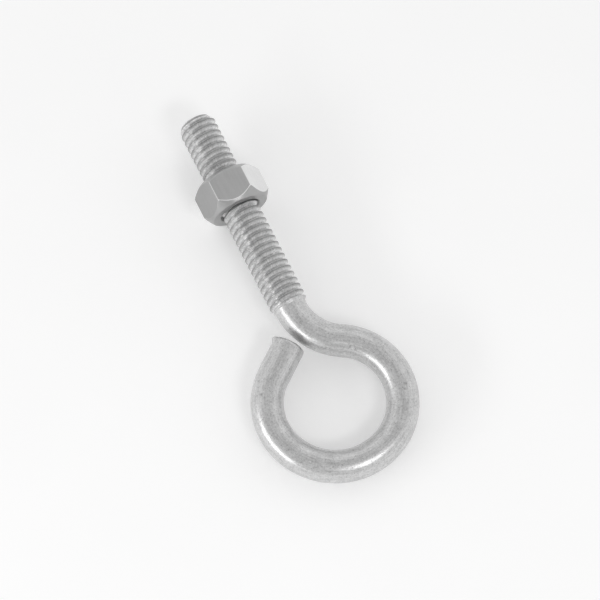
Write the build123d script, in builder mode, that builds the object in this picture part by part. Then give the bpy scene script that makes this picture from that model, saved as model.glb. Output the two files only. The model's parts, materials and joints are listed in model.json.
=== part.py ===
"""Bent-wire eye bolt, 5/16-18 UNC x 3-1/4 in, with one plain hexagon nut. Millimetres.

The eye lies flat in the XY plane with its centre at the origin. The shank runs along +Y to the
threaded tip. A right-hand screw turns from +Z towards +X as it advances along +Y.
"""
from build123d import *
from math import cos, radians, sin, tan
import os

INCH = 25.4

# Bar, bent cold into the eye
wire_diameter = 6.67
overall_length = 3.25 * INCH
shank_x = 0.8  # the shank's axis misses the eye's centre by this much
bend_start_y = 21.6
bend_radius = 12
bend_turn = 58.3
bend_run = 1  # straight, between the bend and the eye
eye_arcs = [(12.7, 125.4), (13.65, 100), (12.5, 65)]  # centreline radius and turn, in order
eye_end_run = 7.4  # straight, where the bar was cut off before it was bent all the way round
eye_bottom_y = -12.78  # lowest point of the eye's centreline
cut_end_fillet = 0.35

# Rolled thread on the bar
thread_pitch = INCH / 18
thread_length = 1.75 * INCH
flank_angle = 30
bolt_major_radius = 3.9
bolt_pitch_radius = 3.47
bolt_minor_radius = 3.07
thread_start_angle = -31  # of the crest at the thread's first section, from +Z towards +X
runout_length = 0.8
point_radius = 2.95  # of the flat end
point_length = 1.55
point_fillet = 0.3

# Hexagon nut
nut_across_flats = 12.7
nut_corner_diameter = 14.5
nut_thickness = 7.6
nut_face_diameter = 12
nut_chamfer_angle = 50
nut_flat_angle = -2  # of the upper flat, from +Z towards +X
nut_rest_y = 44.85  # bearing face, the one towards the eye
nut_major_radius = 4.0
nut_pitch_radius = 3.555
nut_minor_radius = 3.28
countersink_radius = 4.4
countersink_angle = 45
bearing_layer = 0.2  # the bearing face is a layer of its own, which slides but doesn't turn

# Room for cutting
groove_overshoot = 0.12  # a groove is cut from this far outside the crests
blank_overhang = 2 * thread_pitch  # a thread is cut in a blank this much too long at both ends
trim_clearance = 0.3  # a trimming cone starts this far outside the thread's crests

wire_radius = wire_diameter / 2
tip_y = overall_length + eye_bottom_y - wire_radius
thread_start_y = tip_y - thread_length
nut_outer_y = nut_rest_y + nut_thickness
shank_axis = Axis((shank_x, 0, 0), (0, 1, 0))
shank_profile = Plane(origin=(shank_x, 0, 0))  # local X is the radius, local Y the height


def across_shank(y):
    """The plane across the shank at height y."""
    return Plane(origin=(shank_x, y, 0), x_dir=(0, 0, 1), z_dir=(0, 1, 0))


def thread_groove(root_radius, open_radius, pitch_radius, middle_angle, low_y, high_y):
    """The groove between a thread's turns, a pitch too long at both ends, as a solid to cut away.

    Its profile, narrow at the root and wide where it opens, is swept along a helix. middle_angle
    is where the groove's middle passes the thread's first section, from +Z towards +X.
    """
    start_y = low_y - thread_pitch
    length = high_y + thread_pitch - start_y
    angle = radians(middle_angle + 360 * (start_y - thread_start_y) / thread_pitch)
    outwards = Vector(sin(angle), 0, cos(angle))
    start = Vector(shank_x, start_y, 0)
    helix_plane = Plane(origin=start, x_dir=outwards, z_dir=(0, 1, 0))
    helix = helix_plane * Helix(thread_pitch, length, pitch_radius, mode=Mode.PRIVATE)
    slope = tan(radians(flank_angle))
    widening = slope if open_radius > root_radius else -slope
    root_half = thread_pitch / 4 + (root_radius - pitch_radius) * widening
    open_half = thread_pitch / 4 + (open_radius - pitch_radius) * widening
    along_helix = outwards.cross(Vector(0, 1, 0))
    with BuildSketch(Plane(origin=start, x_dir=outwards, z_dir=along_helix)) as profile:
        with BuildLine():
            Polyline(
                (root_radius, root_half),
                (root_radius, -root_half),
                (open_radius, -open_half),
                (open_radius, open_half),
                close=True,
            )
        make_face()
    return sweep(profile.sketch, path=helix, is_frenet=True, mode=Mode.PRIVATE)


bolt_groove = thread_groove(
    bolt_minor_radius,
    bolt_major_radius + groove_overshoot,
    bolt_pitch_radius,
    thread_start_angle + 180,
    thread_start_y,
    tip_y,
)
nut_groove = thread_groove(
    nut_major_radius,
    nut_minor_radius - groove_overshoot,
    nut_pitch_radius,
    thread_start_angle,
    nut_rest_y,
    nut_outer_y,
)

# Eye bolt: thread, bend and eye are one bar. A cone trims the thread at each end.
trim_radius = bolt_major_radius + trim_clearance
runout_slope = (bolt_major_radius - wire_radius) / runout_length
point_slope = (bolt_major_radius - point_radius) / point_length
with BuildPart() as eye_bolt:
    with BuildSketch(across_shank(thread_start_y - blank_overhang)):
        Circle(bolt_major_radius)
    extrude(amount=thread_length + 2 * blank_overhang)
    add(bolt_groove, mode=Mode.SUBTRACT)
    with BuildSketch(shank_profile):
        with BuildLine():
            Polyline(
                (0, thread_start_y),
                (wire_radius, thread_start_y),
                (trim_radius, thread_start_y + (trim_radius - wire_radius) / runout_slope),
                (trim_radius, tip_y - (trim_radius - point_radius) / point_slope),
                (point_radius, tip_y),
                (0, tip_y),
                close=True,
            )
        point_corner = make_face().vertices().group_by(Axis.Y)[-1].sort_by(Axis.X)[-1]
        fillet(point_corner, point_fillet)
    revolve(axis=shank_axis, mode=Mode.INTERSECT)

    with BuildLine() as bar_path:
        shank = Line((shank_x, thread_start_y + thread_pitch), (shank_x, bend_start_y))
        bend = JernArc(shank @ 1, shank % 1, bend_radius, bend_turn)
        bar_end = Line(bend @ 1, bend @ 1 + bend_run * (bend % 1))
        for arc_radius, arc_turn in eye_arcs:
            bar_end = JernArc(bar_end @ 1, bar_end % 1, arc_radius, -arc_turn)
        bar_end = Line(bar_end @ 1, bar_end @ 1 + eye_end_run * (bar_end % 1))
    with BuildSketch(Plane(origin=shank @ 0, z_dir=shank % 0)):
        Circle(wire_radius)
    sweep(path=bar_path.line)
    cut_face = eye_bolt.faces().sort_by_distance(bar_end @ 1)[0]
    fillet(cut_face.edges(), cut_end_fillet)

# Nut: hexagon, threaded bore, chamfered corners, countersinks
corner_radius = nut_corner_diameter / 2
face_radius = nut_face_diameter / 2
chamfer_depth = (corner_radius - face_radius) * tan(radians(nut_chamfer_angle))
countersink_depth = countersink_radius / tan(radians(countersink_angle))
with BuildPart() as whole_nut:
    with BuildSketch(across_shank(nut_rest_y - blank_overhang)):
        RegularPolygon(nut_across_flats / 2, 6, major_radius=False, rotation=30 + nut_flat_angle)
        Circle(nut_minor_radius, mode=Mode.SUBTRACT)
    extrude(amount=nut_thickness + 2 * blank_overhang)
    add(nut_groove, mode=Mode.SUBTRACT)
    with BuildSketch(shank_profile):
        with BuildLine():
            Polyline(
                (0, nut_rest_y),
                (face_radius, nut_rest_y),
                (corner_radius, nut_rest_y + chamfer_depth),
                (corner_radius, nut_outer_y - chamfer_depth),
                (face_radius, nut_outer_y),
                (0, nut_outer_y),
                close=True,
            )
        make_face()
    revolve(axis=shank_axis, mode=Mode.INTERSECT)
    with BuildSketch(shank_profile):
        for face_y, inwards in ((nut_rest_y, 1), (nut_outer_y, -1)):
            with BuildLine():
                Polyline(
                    (0, face_y),
                    (countersink_radius, face_y),
                    (0, face_y + inwards * countersink_depth),
                    close=True,
                )
            make_face()
    revolve(axis=shank_axis, mode=Mode.SUBTRACT)

layer_plane = across_shank(nut_rest_y + bearing_layer)

with BuildPart() as hex_nut:
    add(whole_nut.part)
    split(bisect_by=layer_plane, keep=Keep.TOP)

with BuildPart() as nut_bearing_face:
    add(whole_nut.part)
    split(bisect_by=layer_plane, keep=Keep.BOTTOM)

os.makedirs("parts", exist_ok=True)
sub_parts = {
    "eye_bolt": eye_bolt,
    "hex_nut": hex_nut,
    "nut_bearing_face": nut_bearing_face,
}
for label, sub_part in sub_parts.items():
    sub_part.part.label = label
    export_step(sub_part.part, f"parts/{label}.step")
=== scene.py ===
"""The looks of a bent-wire eye bolt and its nut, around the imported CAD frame. Metres, +Z up.

The eye lies flat in the XY plane and the shank runs along +Y. Angles round the shank are counted
from +Z towards +X, the way a right-hand thread turns as it advances along +Y. Angles round the bar
are counted from the eye's inner side towards +Z.
"""

import json
import math

import bpy
import numpy as np
from mathutils import Matrix, Vector, noise


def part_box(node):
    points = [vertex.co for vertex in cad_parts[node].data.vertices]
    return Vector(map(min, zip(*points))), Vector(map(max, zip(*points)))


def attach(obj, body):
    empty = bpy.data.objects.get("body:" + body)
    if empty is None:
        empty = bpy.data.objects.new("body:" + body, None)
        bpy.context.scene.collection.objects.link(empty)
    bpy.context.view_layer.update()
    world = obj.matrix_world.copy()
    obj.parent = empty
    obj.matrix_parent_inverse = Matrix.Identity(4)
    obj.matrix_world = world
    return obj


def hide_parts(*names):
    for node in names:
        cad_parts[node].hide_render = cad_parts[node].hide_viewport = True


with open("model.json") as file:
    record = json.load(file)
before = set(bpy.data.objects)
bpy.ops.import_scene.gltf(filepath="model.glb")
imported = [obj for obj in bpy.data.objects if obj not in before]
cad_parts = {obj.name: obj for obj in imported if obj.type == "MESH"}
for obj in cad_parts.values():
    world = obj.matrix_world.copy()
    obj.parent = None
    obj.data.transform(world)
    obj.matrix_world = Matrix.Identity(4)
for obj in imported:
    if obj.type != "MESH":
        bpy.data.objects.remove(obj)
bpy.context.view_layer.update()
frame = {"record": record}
mounts = {mount["name"]: mount for mount in frame["record"]["mounts"]}
thread_mount = mounts["threaded_shank"]

MM = 0.001

# The bar's route, as it was bent
wire_radius = 3.335 * MM
bend_start_y = 21.6 * MM
bend_radius = 12 * MM
bend_turn = math.radians(58.3)
bend_run = 1 * MM
eye_arcs = (  # radius and turn
    (12.7 * MM, math.radians(125.4)),
    (13.65 * MM, math.radians(100)),
    (12.5 * MM, math.radians(65)),
)
eye_end_run = 7.4 * MM
ring_spacing = 0.35 * MM
fewest_rings = 2  # in any stretch of the bar
ring_columns = 72
rounding_error = 1e-9

# The plain bar's surface
bend_flattening = 0.012  # how much flatter the bar is where it was bent, as a share of its radius
bar_unevenness = 0.004  # as a share of its radius
uneven_size = 6 * MM
pit_depth = 0.1 * MM
pits = (  # mm along the bar from the tip, degrees round the bar, radius in mm
    (73.9, 102, 0.34),
    (74.9, 97, 0.16),
    (77.9, 102, 0.2),
    (59.5, 57, 0.24),
    (61.0, 52, 0.2),
    (119.0, 111, 0.24),
    (121.4, 132, 0.16),
)

# The cut end, with the lip that shearing left on its outer side
inner_rounding = 0.7 * MM
outer_rounding = 0.5 * MM
burr_angle = math.radians(160)
burr_spread = 0.42  # in radians
burr_length = 0.45 * MM
burr_setback = 0.6 * MM  # from the cut end to the lip
burr_height = 0.45 * MM
hollow_setback = 1.59 * MM  # from the cut end to the hollow behind the lip
hollow_share = 0.35  # of the lip's height
cut_dome = ((0.94, 0.02 * MM), (0.7, 0.09 * MM), (0.35, 0.13 * MM))  # share of the rim, height

# The rolled thread
pitch = 25.4 / 18 * MM
crest_radius = thread_mount["dims"]["r_mm"] * MM
root_radius = 3.06 * MM
crest_angle = math.radians(-31)  # of the crest where the thread starts
crest_half = 0.1  # of the crest's top, in pitches
root_half = 0.02
crest_unevenness = 0.018 * MM
rough_size = 0.5 * MM
seed_step = Vector((7.3, 3.1, 5.7))  # how far apart one seed's noise is from the next's
rings_per_pitch = 24
runout_length = 0.8 * MM
runout_step = 0.05 * MM  # where the thread starts, above the plain bar
root_fill_length = 1.3 * pitch  # over which the first roots deepen
# Painted shade and highlight on the thread: middle in pitches from the crest, half width, and how much
# darker it is painted. Below 0 is a painted highlight
thread_painted_light_bands = ((0.0, 0.18, 1.0), (0.31, 0.09, -1.0), (0.5, 0.07, 0.6))
nick_y = 33.0 * MM  # one crest was knocked here: a dent, with a painted highlight on it
nick_angle = math.radians(36)
nick_size = 0.32 * MM
nick_depth = 0.16 * MM
# painted highlight on the knocked crest
nick_painted_highlight = -1.5

# The tip
point_radius = 2.95 * MM
point_length = 1.55 * MM
point_rounding = 0.3 * MM
point_unevenness = 0.02 * MM
tip_dish = ((0.3, -0.12 * MM), (0.7, -0.06 * MM), (0.93, 0))  # share of the rim, height
cap_along = np.array((0.5, 1.5, 2)) * MM  # along the finish, from a rim to each ring of its cap

# The nut
across_flats = 12.7 * MM
nut_turned = math.radians(-2)  # of the flat that faces +Z
corner_radius = 7.25 * MM
corner_softness = 0.1 * MM
face_radii = (6.0 * MM, 5.8 * MM)  # of the bearing face, then the outer face
chamfer_slopes = (1.45, 0.9)  # height over depth, of the same two
countersink_radius = 4.4 * MM
countersink_reach = 0.35 * MM  # how far in it runs past the bar's crests
bore_clearance = 0.09 * MM
bore_rings_per_pitch = 16
nut_edge_radius = 0.13 * MM
edge_steps = 3
edge_share = 0.45  # the most of a side that the rounding of one end takes
guard_reach = 0.6  # of the rounding: an extra row this far beyond it keeps the flats flat
columns_per_side = 20
# How much darker each flat is painted, as painted shade and highlight for how each is lit, from the one
# facing +Z round towards +X
painted_flat_shades = (0.34, -0.05, 0.12, 0.2, 0.1, 0.52)
painted_chamfer_shade = 0.46  # painted shade on the chamfers and the faces
# painted shade in the bore
painted_bore_shade = 0.6
highlit_side = 0  # the flat whose edges get a painted highlight
# painted highlight on that flat's edges
painted_edge_highlight = -0.35
# how far past the bearing-side chamfer the painted edge highlight runs
highlight_reach = 0.16 * MM
highlight_corner = math.radians(29.5)  # from a flat's middle to where its painted corner highlight starts
wall_margin = 0.03 * MM  # a point further in than this is off the wall
bore_margin = 0.1 * MM  # a point this far inside the countersink's rim is in the bore

# The studio. Directions are as seen by the camera: rightward, upward and back towards it
view_azimuth = math.radians(26.304)
view_elevation = math.radians(72.5)
view_distance = 450 * MM
view_width = 118.507 * MM  # across the frame, at the shank's foot
foot_offset = (7.769 * MM, -20.195 * MM)  # of the shank's foot from the frame's middle, right and up
sensor_width = 36  # in mm, as the lens is
near_clip = 10 * MM
softboxes = (  # name, direction, distance, size and watts
    ("left_softbox", (-0.82, -0.32, 0.47), 0.5, (0.42, 0.06), 0.5),
    ("low_softbox", (0.37, -0.24, 0.90), 0.6, (0.22, 0.10), 0.48),
)
lit_point = Vector((0, 20 * MM, 0))  # which the softboxes face
# Brightness of the surroundings, by the cosine of their angle from the camera's direction
sky_stops = ((0.0, 0.72), (0.3, 0.95), (0.5, 0.9), (0.72, 0.6), (1.0, 0.5))
floor_half = 3.0
floor_gap = 0.02 * MM
flat_start = 0.6 * MM  # from the nut's bearing face to the edge of the flat it lies on

tip = Vector(thread_mount["pos_m"])
shank_x = tip.x
tip_y = tip.y
thread_start_y = tip_y - thread_mount["dims"]["length_mm"] * MM
nut_rest_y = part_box("nut_bearing_face")[0].y
nut_outer_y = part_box("hex_nut")[1].y


# ---------------------------------------------------------------- shapes


def ease(x):
    """0 below 0, 1 above 1, and smooth between."""
    x = np.clip(x, 0, 1)
    return x * x * (3 - 2 * x)


def wander(points, size, seed):
    """Smooth noise, about -1 to 1, at each of the points, with lumps of this size."""
    shift = seed * seed_step
    values = [noise.noise(Vector(point) / size + shift) for point in points.reshape(-1, 3)]
    return np.reshape(values, points.shape[:-1])


def thread_phase(y, angle):
    """Where a point is across the thread: 0 on a crest's middle, half a unit away in a root."""
    phase = (y - thread_start_y) / pitch - (angle - crest_angle) / (2 * math.pi)
    return phase - np.round(phase)


def thread_radius(phase):
    """The bar's radius across one turn of its thread: a broad rounded crest, a narrow root."""
    rise = (0.5 - root_half - np.abs(phase)) / (0.5 - root_half - crest_half)
    return root_radius + (crest_radius - root_radius) * ease(rise)


def painted_thread_light(phase):
    """Painted light across one turn: painted shade on the crest and root, a painted highlight on the
    flanks.
    """
    return sum(
        painted_darkness * np.exp(-(((np.abs(phase) - middle) / half_width) ** 2))
        for middle, half_width, painted_darkness in thread_painted_light_bands
    )


def grid_mesh(name, rows, shade, uvs=None):
    """A mesh of closed rings, each joined to the next. rows is rings x columns x 3.

    With uvs, which are the coordinates along the rings and round them, both ends are closed by a
    face. Without them the last ring is joined to the first.
    """
    ring_count, column_count = rows.shape[:2]
    joined = ring_count if uvs is None else ring_count - 1
    corners = []
    for ring in range(joined):
        for column in range(column_count):
            near = [(ring, column), (ring, column + 1)]
            far = [(ring + 1, column + 1), (ring + 1, column)]
            corners.append(near + far)
    corners = np.array(corners)
    indices = corners[..., 0] % ring_count * column_count + corners[..., 1] % column_count
    faces = indices.tolist()
    if uvs is not None:
        last_ring = (ring_count - 1) * column_count
        faces.append(list(reversed(range(column_count))))
        faces.append(list(range(last_ring, last_ring + column_count)))
    mesh = bpy.data.meshes.new(name)
    mesh.from_pydata(rows.reshape(-1, 3).tolist(), [], faces)
    if uvs is not None:
        along, girth = uvs
        wall_uvs = np.stack([girth[corners[..., 1]], along[corners[..., 0]]], -1)
        first_uvs = [(place, along[0]) for place in girth[column_count - 1 :: -1]]
        last_uvs = [(place, along[-1]) for place in girth[:column_count]]
        all_uvs = np.concatenate([wall_uvs.reshape(-1, 2), first_uvs, last_uvs])
        layer = mesh.uv_layers.new(name="along_bar")
        layer.data.foreach_set("uv", all_uvs.ravel())
    attribute = mesh.attributes.new("shade", "FLOAT", "POINT")
    attribute.data.foreach_set("value", shade.ravel())
    mesh.polygons.foreach_set("use_smooth", [True] * len(mesh.polygons))
    mesh.validate()
    piece = bpy.data.objects.new(name, mesh)
    bpy.context.scene.collection.objects.link(piece)
    return piece


# ---------------------------------------------------------------- the bar


def bar_route():
    """Stations down the bar from its tip: centreline points, headings, curvature and distance."""
    thread_length = tip_y - thread_start_y
    runs = [(thread_start_y - bend_start_y, 0), (bend_radius * bend_turn, bend_turn), (bend_run, 0)]
    runs += [(arc_radius * turn, -turn) for arc_radius, turn in eye_arcs]
    runs.append((eye_end_run, 0))
    stretches = [(thread_length, 0, round(thread_length / pitch * rings_per_pitch))]
    stretches += [(length, turn, max(fewest_rings, round(length / ring_spacing))) for length, turn in runs]
    position = Vector((shank_x, tip_y, 0))
    heading = -math.pi / 2
    centres = [position.copy()]
    headings = [heading]
    curving = [0.0]
    for length, turn, steps in stretches:
        half_turn = turn / steps / 2
        chord = length / steps * (math.sin(half_turn) / half_turn if turn else 1)
        for _ in range(steps):
            middle = heading + half_turn
            position += chord * Vector((math.cos(middle), math.sin(middle), 0))
            heading += turn / steps
            centres.append(position.copy())
            headings.append(heading)
            curving.append(abs(turn) / length)
    centres = np.array(centres)
    gaps = np.linalg.norm(np.diff(centres, axis=0), axis=1)
    travelled = np.concatenate([[0], np.cumsum(gaps)])
    return centres, np.array(headings), np.array(curving), travelled


def threaded_radius(phase, from_start, from_tip, root_depth, rough):
    """The bar's radius in the thread, with the shallow first roots, the runout and the point."""
    shallow_root = wire_radius + (root_radius - wire_radius) * root_depth
    radius = np.maximum(thread_radius(phase) + crest_unevenness * rough, shallow_root)
    runout_slope = (crest_radius - wire_radius) / runout_length
    radius = np.minimum(radius, wire_radius + runout_step + from_start * runout_slope)
    cone = point_radius + from_tip * (crest_radius - point_radius) / point_length
    return np.minimum(radius, cone + point_unevenness * rough)


def plain_radius(around, curving, broad):
    """The bar's radius past the thread: slightly flattened by bending, and slightly uneven."""
    bent = np.clip(curving * bend_radius, 0, 1)[:, None]
    flattened = 1 - bend_flattening * bent * np.cos(around) ** 2
    return wire_radius * flattened * (1 + bar_unevenness * broad)


def rim_loss(distance, rounding):
    """How much smaller the bar is at this distance from an end whose rim is rounded."""
    inset = np.clip(rounding - distance, 0, None)
    return rounding - np.sqrt(np.clip(rounding**2 - inset**2, 0, None))


def burr(around, to_end):
    """How far the lip on the cut end stands proud, and the hollow behind it dips."""
    side = np.exp(-(((around - burr_angle) / burr_spread) ** 2))
    lip = np.exp(-(((to_end - burr_setback) / burr_length) ** 2))
    hollow = np.exp(-(((to_end - hollow_setback) / burr_length) ** 2))
    return burr_height * side * (lip - hollow_share * hollow)


def in_pits(around, from_tip):
    """1 in the middle of a pit, falling to 0 outside it."""
    inside = 0
    for distance, degrees, size in pits:
        across = (around - math.radians(degrees)) * wire_radius
        away = np.hypot(from_tip - distance * MM, across) / (size * MM)
        inside = np.maximum(inside, np.exp(-(away**2)))
    return inside


def in_nick(y, angle):
    """1 in the middle of the knocked crest, falling to 0 outside it."""
    away = np.hypot(y - nick_y, (angle - nick_angle) * crest_radius) / nick_size
    return np.exp(-(away**2))


def end_cap(ring, centre, direction, steps):
    """Rings that close an end: each is a share of the rim's size, and stands at a height."""
    return [centre + (ring - centre) * share + direction * height for share, height in steps]


def make_bar():
    """Thread, bend and eye: rings down the whole bar, in one piece."""
    centres, headings, curving, travelled = bar_route()
    around = np.arange(ring_columns) * 2 * math.pi / ring_columns
    inner_sides = np.stack([np.sin(headings), -np.cos(headings), np.zeros(len(headings))], 1)
    outwards = np.cos(around)[None, :, None] * inner_sides[:, None, :]
    outwards = outwards + np.sin(around)[None, :, None] * np.array([0, 0, 1.0])
    smooth_bar = centres[:, None, :] + outwards * wire_radius
    rough = wander(smooth_bar, rough_size, seed=1)
    broad = wander(smooth_bar, uneven_size, seed=2)

    y = centres[:, 1][:, None]
    angle = np.arctan2(outwards[..., 0], outwards[..., 2])
    phase = thread_phase(y, angle)
    from_start = y - thread_start_y
    from_tip = travelled[:, None]
    to_end = travelled[-1] - from_tip
    root_depth = ease(from_start / root_fill_length)
    threaded = from_tip <= tip_y - thread_start_y + rounding_error
    thread = threaded_radius(phase, from_start, from_tip, root_depth, rough)
    radius = np.where(threaded, thread, plain_radius(around, curving, broad))

    cut_rounding = outer_rounding + (inner_rounding - outer_rounding) * (1 + np.cos(around)) / 2
    radius = radius - rim_loss(from_tip, point_rounding)
    radius = radius - rim_loss(to_end, cut_rounding) + burr(around, to_end)
    pitted = in_pits(around, from_tip)
    knocked = np.where(threaded, in_nick(y, angle), 0)
    radius = radius - pit_depth * pitted - nick_depth * knocked

    # the thread's painted shade and highlights fade in twice as fast as its roots deepen
    shade = np.where(threaded, painted_thread_light(phase) * ease(2 * root_depth), 0)
    # darker in the pits, and a painted highlight on the knocked crest
    shade = shade + pitted + nick_painted_highlight * knocked

    # the tip is slightly dished and the cut end slightly domed
    rings = centres[:, None, :] + outwards * radius[..., None]
    end_direction = np.array([math.cos(headings[-1]), math.sin(headings[-1]), 0])
    tip_cap = end_cap(rings[0], centres[0], np.array([0, 1.0, 0]), tip_dish)
    cut_cap = end_cap(rings[-1], centres[-1], end_direction, cut_dome)
    rings = np.concatenate([tip_cap, rings, cut_cap])
    # the end caps get no painted light
    unpainted = np.zeros((len(cap_along), ring_columns))
    shade = np.concatenate([unpainted, shade, unpainted])
    along = np.concatenate([-cap_along[::-1], travelled, travelled[-1] + cap_along])
    girth = np.arange(ring_columns + 1) * 2 * math.pi * wire_radius / ring_columns
    return grid_mesh("eye_bolt_bar", rings, shade, (along, girth))


# ---------------------------------------------------------------- the nut


def rounded(points):
    """The open polyline with each inner corner replaced by a small curve."""
    points = [np.array(point) for point in points]
    smooth = [points[0]]
    for before, corner, after in zip(points, points[1:], points[2:]):
        lead_in = before - corner
        lead_out = after - corner
        reach_in = min(nut_edge_radius, np.linalg.norm(lead_in) * edge_share)
        reach_out = min(nut_edge_radius, np.linalg.norm(lead_out) * edge_share)
        start = corner + lead_in / np.linalg.norm(lead_in) * reach_in
        end = corner + lead_out / np.linalg.norm(lead_out) * reach_out
        smooth.append(start + (start - corner) * guard_reach)
        for step in range(edge_steps + 1):
            t = step / edge_steps
            smooth.append((1 - t) ** 2 * start + 2 * t * (1 - t) * corner + t * t * end)
        smooth.append(end + (end - corner) * guard_reach)
    smooth.append(points[-1])
    return smooth


def wall_radius(from_middle):
    """The nut's wall at this angle from the middle of a flat: the flat, then the turned corner."""
    flat = across_flats / 2 / math.cos(from_middle)
    blend = min(max(0.5 + 0.5 * (corner_radius - flat) / corner_softness, 0), 1)
    return flat * blend + corner_radius * (1 - blend) - corner_softness * blend * (1 - blend)


def chamfer_height(wall, face):
    """How far a chamfer reaches along the wall from the bearing face, 0, or the outer face, 1."""
    return (wall - face_radii[face]) * chamfer_slopes[face]


def nut_outline(wall, angle):
    """Radius and y round the nut's section at one angle, its bore's thread included."""
    countersink_end = crest_radius - countersink_reach
    depth = countersink_radius - countersink_end
    outline = rounded(
        [
            (countersink_end, nut_rest_y + depth),
            (countersink_radius, nut_rest_y),
            (face_radii[0], nut_rest_y),
            (wall, nut_rest_y + chamfer_height(wall, 0)),
            (wall, nut_outer_y - chamfer_height(wall, 1)),
            (face_radii[1], nut_outer_y),
            (countersink_radius, nut_outer_y),
            (countersink_end, nut_outer_y - depth),
        ]
    )
    bore_rows = round((nut_outer_y - nut_rest_y) / pitch * bore_rings_per_pitch)
    bore_y = np.linspace(nut_outer_y - depth, nut_rest_y + depth, bore_rows)[1:-1]
    bore = thread_radius(thread_phase(bore_y, angle)) + bore_clearance
    return outline + [np.array(point) for point in zip(bore, bore_y)]


def nut_painted_light(radius, y, wall, side, from_middle):
    """The painted light on the nut at a point: painted shade in its bore and on its ends, painted shade or
    highlight on a flat, and a painted highlight on one flat's edges.
    """
    if radius < countersink_radius - bore_margin:
        return painted_bore_shade
    if radius < wall - wall_margin:
        return painted_chamfer_shade
    beside_corner = abs(from_middle) > highlight_corner
    beside_chamfer = y < nut_rest_y + chamfer_height(wall, 0) + highlight_reach
    if side == highlit_side and (beside_corner or beside_chamfer):
        return painted_edge_highlight
    return painted_flat_shades[side]


def make_nut():
    """The hexagon nut: a section at each angle, closer together towards its corners."""
    columns = []
    shades = []
    for side in range(6):
        for column in range(columns_per_side):
            share = (2 * column + 1) / columns_per_side - 1
            from_middle = math.radians(30 * math.sin(math.pi / 2 * share))
            angle = nut_turned + math.radians(60 * side) + from_middle
            wall = wall_radius(from_middle)
            outline = nut_outline(wall, angle)
            columns.append([(shank_x + r * math.sin(angle), y, r * math.cos(angle)) for r, y in outline])
            shades.append([nut_painted_light(r, y, wall, side, from_middle) for r, y in outline])
    rings = np.array(columns).transpose(1, 0, 2)
    return grid_mesh("hexagon_nut", rings, np.transpose(shades))


# ---------------------------------------------------------------- materials


class Nodes:
    """A material's node tree, with short calls to add nodes and link them."""

    def __init__(self, name):
        self.material = bpy.data.materials.new(name)
        self.material.use_nodes = True
        self.tree = self.material.node_tree
        self.shader = self.tree.nodes["Principled BSDF"]
        self.place = self.add("ShaderNodeTexCoord").outputs["Object"]

    def add(self, kind, inputs=None, **settings):
        node = self.tree.nodes.new(kind)
        for setting, value in settings.items():
            setattr(node, setting, value)
        for socket, value in (inputs or {}).items():
            self.feed(node.inputs[socket], value)
        return node

    def feed(self, socket, value):
        if isinstance(value, bpy.types.NodeSocket):
            self.tree.links.new(value, socket)
        else:
            socket.default_value = value

    def noise(self, coordinates, size, detail, roughness=0.55):
        """Noise with features of this size in metres."""
        inputs = {"Vector": coordinates, "Scale": 1 / size, "Detail": detail, "Roughness": roughness}
        return self.add("ShaderNodeTexNoise", inputs).outputs["Fac"]

    def span(self, value, low, high, to_low=0.0, to_high=1.0):
        """value, mapped from one range to another and held inside it."""
        inputs = {"Value": value, "From Min": low, "From Max": high, "To Min": to_low, "To Max": to_high}
        return self.add("ShaderNodeMapRange", inputs).outputs["Result"]

    def math(self, operation, first, second):
        node = self.add("ShaderNodeMath", {0: first, 1: second}, operation=operation)
        return node.outputs["Value"]

    def vary(self, tone, texture, spread, amount):
        """tone, up to this amount lighter or darker where the texture is this far from its middle."""
        change = self.span(texture, 0.5 - spread, 0.5 + spread, -amount, amount)
        return self.math("ADD", tone, change)

    def stretch(self, coordinates, scale):
        return self.add("ShaderNodeMapping", {"Vector": coordinates, "Scale": scale}).outputs["Vector"]

    def bump(self, height, strength, distance, normal=None):
        inputs = {"Height": height, "Strength": strength, "Distance": distance}
        if normal is not None:
            inputs["Normal"] = normal
        return self.add("ShaderNodeBump", inputs).outputs["Normal"]

    def grey(self, tone):
        colour = self.add("ShaderNodeCombineColor", {"Red": tone, "Green": tone, "Blue": tone})
        return colour.outputs["Color"]

    def finish(self, tone, roughness, surface, metallic):
        """A grey metal of this tone, roughness and surface."""
        self.feed(self.shader.inputs["Base Color"], self.grey(tone))
        self.feed(self.shader.inputs["Roughness"], roughness)
        self.feed(self.shader.inputs["Normal"], surface)
        self.shader.inputs["Metallic"].default_value = metallic
        return self.material


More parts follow.
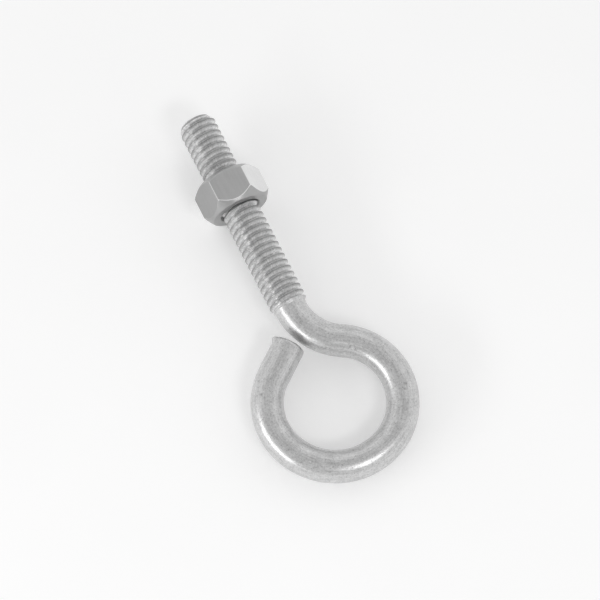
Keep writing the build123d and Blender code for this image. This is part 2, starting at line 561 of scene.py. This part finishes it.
def bar_material():
    """Zinc plate on drawn wire: satin, with fine speckle, drawing streaks and a few pits."""
    nodes = Nodes("zinc_bar_finish")
    place = nodes.place
    along = nodes.add("ShaderNodeUVMap", uv_map="along_bar").outputs["UV"]
    shade = nodes.add("ShaderNodeAttribute", attribute_name="shade").outputs["Fac"]
    clouds = nodes.noise(place, size=2.2 * MM, detail=5)
    speckle = nodes.noise(place, size=0.42 * MM, detail=4, roughness=0.75)
    grain = nodes.noise(place, size=0.13 * MM, detail=2, roughness=0.7)
    drawn = nodes.stretch(along, scale=(6, 0.35, 1))
    streaks = nodes.noise(drawn, size=1.6 * MM, detail=4, roughness=0.6)
    pitting = nodes.noise(place, size=0.6 * MM, detail=2, roughness=0.6)
    pitting = nodes.span(pitting, low=0.66, high=0.74)
    tone = nodes.span(clouds, low=0.35, high=0.65, to_low=0.57, to_high=0.65)
    tone = nodes.vary(tone, speckle, spread=0.2, amount=0.13)
    tone = nodes.vary(tone, grain, spread=0.2, amount=0.07)
    tone = nodes.vary(tone, streaks, spread=0.15, amount=0.07)
    darkening = nodes.math("MULTIPLY", pitting, 0.14)
    tone = nodes.math("SUBTRACT", tone, darkening)
    # the shade attribute: painted shade and highlights on the thread and the nick, and the darker pits
    brightening = nodes.span(shade, low=-1.0, high=1.0, to_low=1.5, to_high=0.5)
    tone = nodes.math("MULTIPLY", tone, brightening)
    roughness = nodes.span(speckle, low=0.3, high=0.7, to_low=0.26, to_high=0.38)
    surface = nodes.bump(speckle, strength=0.35, distance=0.05 * MM)
    surface = nodes.bump(streaks, strength=0.15, distance=0.05 * MM, normal=surface)
    sunk = nodes.math("MULTIPLY", pitting, -1.0)
    surface = nodes.bump(sunk, strength=0.4, distance=0.06 * MM, normal=surface)
    return nodes.finish(tone, roughness, surface, metallic=0.75)


def nut_material():
    """Zinc plate on a machined nut: smoother than the bar, with fine lines along its axis."""
    nodes = Nodes("zinc_nut_finish")
    place = nodes.place
    shade = nodes.add("ShaderNodeAttribute", attribute_name="shade").outputs["Fac"]
    clouds = nodes.noise(place, size=3 * MM, detail=5)
    speckle = nodes.noise(place, size=0.2 * MM, detail=4, roughness=0.6)
    machined = nodes.stretch(place, scale=(1, 0.06, 1))
    lines = nodes.noise(machined, size=0.5 * MM, detail=4, roughness=0.6)
    tone = nodes.span(clouds, low=0.3, high=0.7, to_low=0.77, to_high=0.80)
    tone = nodes.vary(tone, speckle, spread=0.2, amount=0.03)
    tone = nodes.vary(tone, lines, spread=0.15, amount=0.02)
    # the shade attribute: painted shade and highlights on the nut's flats, ends, bore and edges
    tone = nodes.math("MULTIPLY", tone, nodes.math("SUBTRACT", 1.0, shade))
    roughness = nodes.span(lines, low=0.35, high=0.65, to_low=0.33, to_high=0.40)
    surface = nodes.bump(lines, strength=0.06, distance=0.03 * MM)
    surface = nodes.bump(speckle, strength=0.10, distance=0.02 * MM, normal=surface)
    return nodes.finish(tone, roughness, surface, metallic=0.85)


def floor_material():
    """Matt white board, with a trace of mottling."""
    nodes = Nodes("white_board")
    mottle = nodes.noise(nodes.place, size=30 * MM, detail=3)
    tone = nodes.span(mottle, low=0.3, high=0.7, to_low=0.87, to_high=0.88)
    nodes.feed(nodes.shader.inputs["Base Color"], nodes.grey(tone))
    nodes.shader.inputs["Roughness"].default_value = 0.9
    nodes.shader.inputs["Specular IOR Level"].default_value = 0.1
    nodes.shader.inputs["Emission Color"].default_value = (1, 1, 1, 1)
    nodes.shader.inputs["Emission Strength"].default_value = 0.2
    return nodes.material


bar = make_bar()
bar.data.materials.append(bar_material())
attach(bar, "bolt")
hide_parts("eye_bolt")

nut = make_nut()
nut.data.materials.append(nut_material())
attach(nut, "nut")
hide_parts("hex_nut", "nut_bearing_face")


# ---------------------------------------------------------------- studio

forward = Vector(
    (
        math.sin(view_azimuth) * math.cos(view_elevation),
        math.cos(view_azimuth) * math.cos(view_elevation),
        -math.sin(view_elevation),
    )
)
rightward = Vector((math.cos(view_azimuth), -math.sin(view_azimuth), 0))
upward = rightward.cross(forward)


def make_camera():
    """Looks steeply down from beyond the eye, with the shank running away up the frame."""
    camera = bpy.data.objects.new("camera", bpy.data.cameras.new("camera"))
    foot = Vector((shank_x, 0, 0))
    camera.location = foot - foot_offset[0] * rightward - foot_offset[1] * upward - view_distance * forward
    camera.rotation_euler = Matrix((rightward, upward, -forward)).transposed().to_euler()
    camera.data.sensor_width = sensor_width
    camera.data.lens = sensor_width * view_distance / view_width
    camera.data.clip_start = near_clip
    bpy.context.scene.collection.objects.link(camera)
    bpy.context.scene.camera = camera


def make_softbox(name, seen_direction, distance, size, power):
    """A rectangular area light, facing the middle of the bolt."""
    to_right, to_top, to_camera = seen_direction
    direction = (to_right * rightward + to_top * upward - to_camera * forward).normalized()
    light = bpy.data.lights.new(name, "AREA")
    light.shape = "RECTANGLE"
    light.size, light.size_y = size
    light.energy = power
    lamp = bpy.data.objects.new(name, light)
    lamp.location = lit_point + direction * distance
    lamp.rotation_euler = (-direction).to_track_quat("-Z", "Y").to_euler()
    bpy.context.scene.collection.objects.link(lamp)


def make_floor():
    """A board just clear of the eye and the nut above it, so it tilts a little along Y."""
    eye_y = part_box("eye_bolt")[0].y + wire_radius
    nut_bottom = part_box("hex_nut")[0].z
    slope = (nut_bottom + wire_radius) / (nut_rest_y + flat_start - eye_y)
    corners = [(-1, -1), (1, -1), (1, 1), (-1, 1)]
    places = [(x * floor_half, y * floor_half) for x, y in corners]
    mesh = bpy.data.meshes.new("floor")
    points = [(x, y, (y - eye_y) * slope - wire_radius - floor_gap) for x, y in places]
    mesh.from_pydata(points, [], [(0, 1, 2, 3)])
    floor = bpy.data.objects.new("floor", mesh)
    bpy.context.scene.collection.objects.link(floor)
    floor.data.materials.append(floor_material())


def make_world():
    """Pale surroundings, darker overhead where the camera and its stand would be."""
    world = bpy.data.worlds.new("studio")
    bpy.context.scene.world = world
    world.use_nodes = True
    tree = world.node_tree
    place = tree.nodes.new("ShaderNodeTexCoord")
    facing = tree.nodes.new("ShaderNodeVectorMath")
    facing.operation = "DOT_PRODUCT"
    facing.inputs[1].default_value = -forward
    ramp = tree.nodes.new("ShaderNodeValToRGB")
    stops = ramp.color_ramp.elements
    for facing_camera, _ in sky_stops[1:-1]:
        stops.new(facing_camera)
    for stop, (facing_camera, brightness) in zip(stops, sky_stops):
        stop.position = facing_camera
        stop.color = (brightness, brightness, brightness, 1)
    tree.links.new(place.outputs["Generated"], facing.inputs[0])
    tree.links.new(facing.outputs["Value"], ramp.inputs["Fac"])
    tree.links.new(ramp.outputs["Color"], tree.nodes["Background"].inputs["Color"])


make_camera()
make_floor()
make_world()
for softbox in softboxes:
    make_softbox(*softbox)
bpy.context.scene.view_settings.view_transform = "Standard"
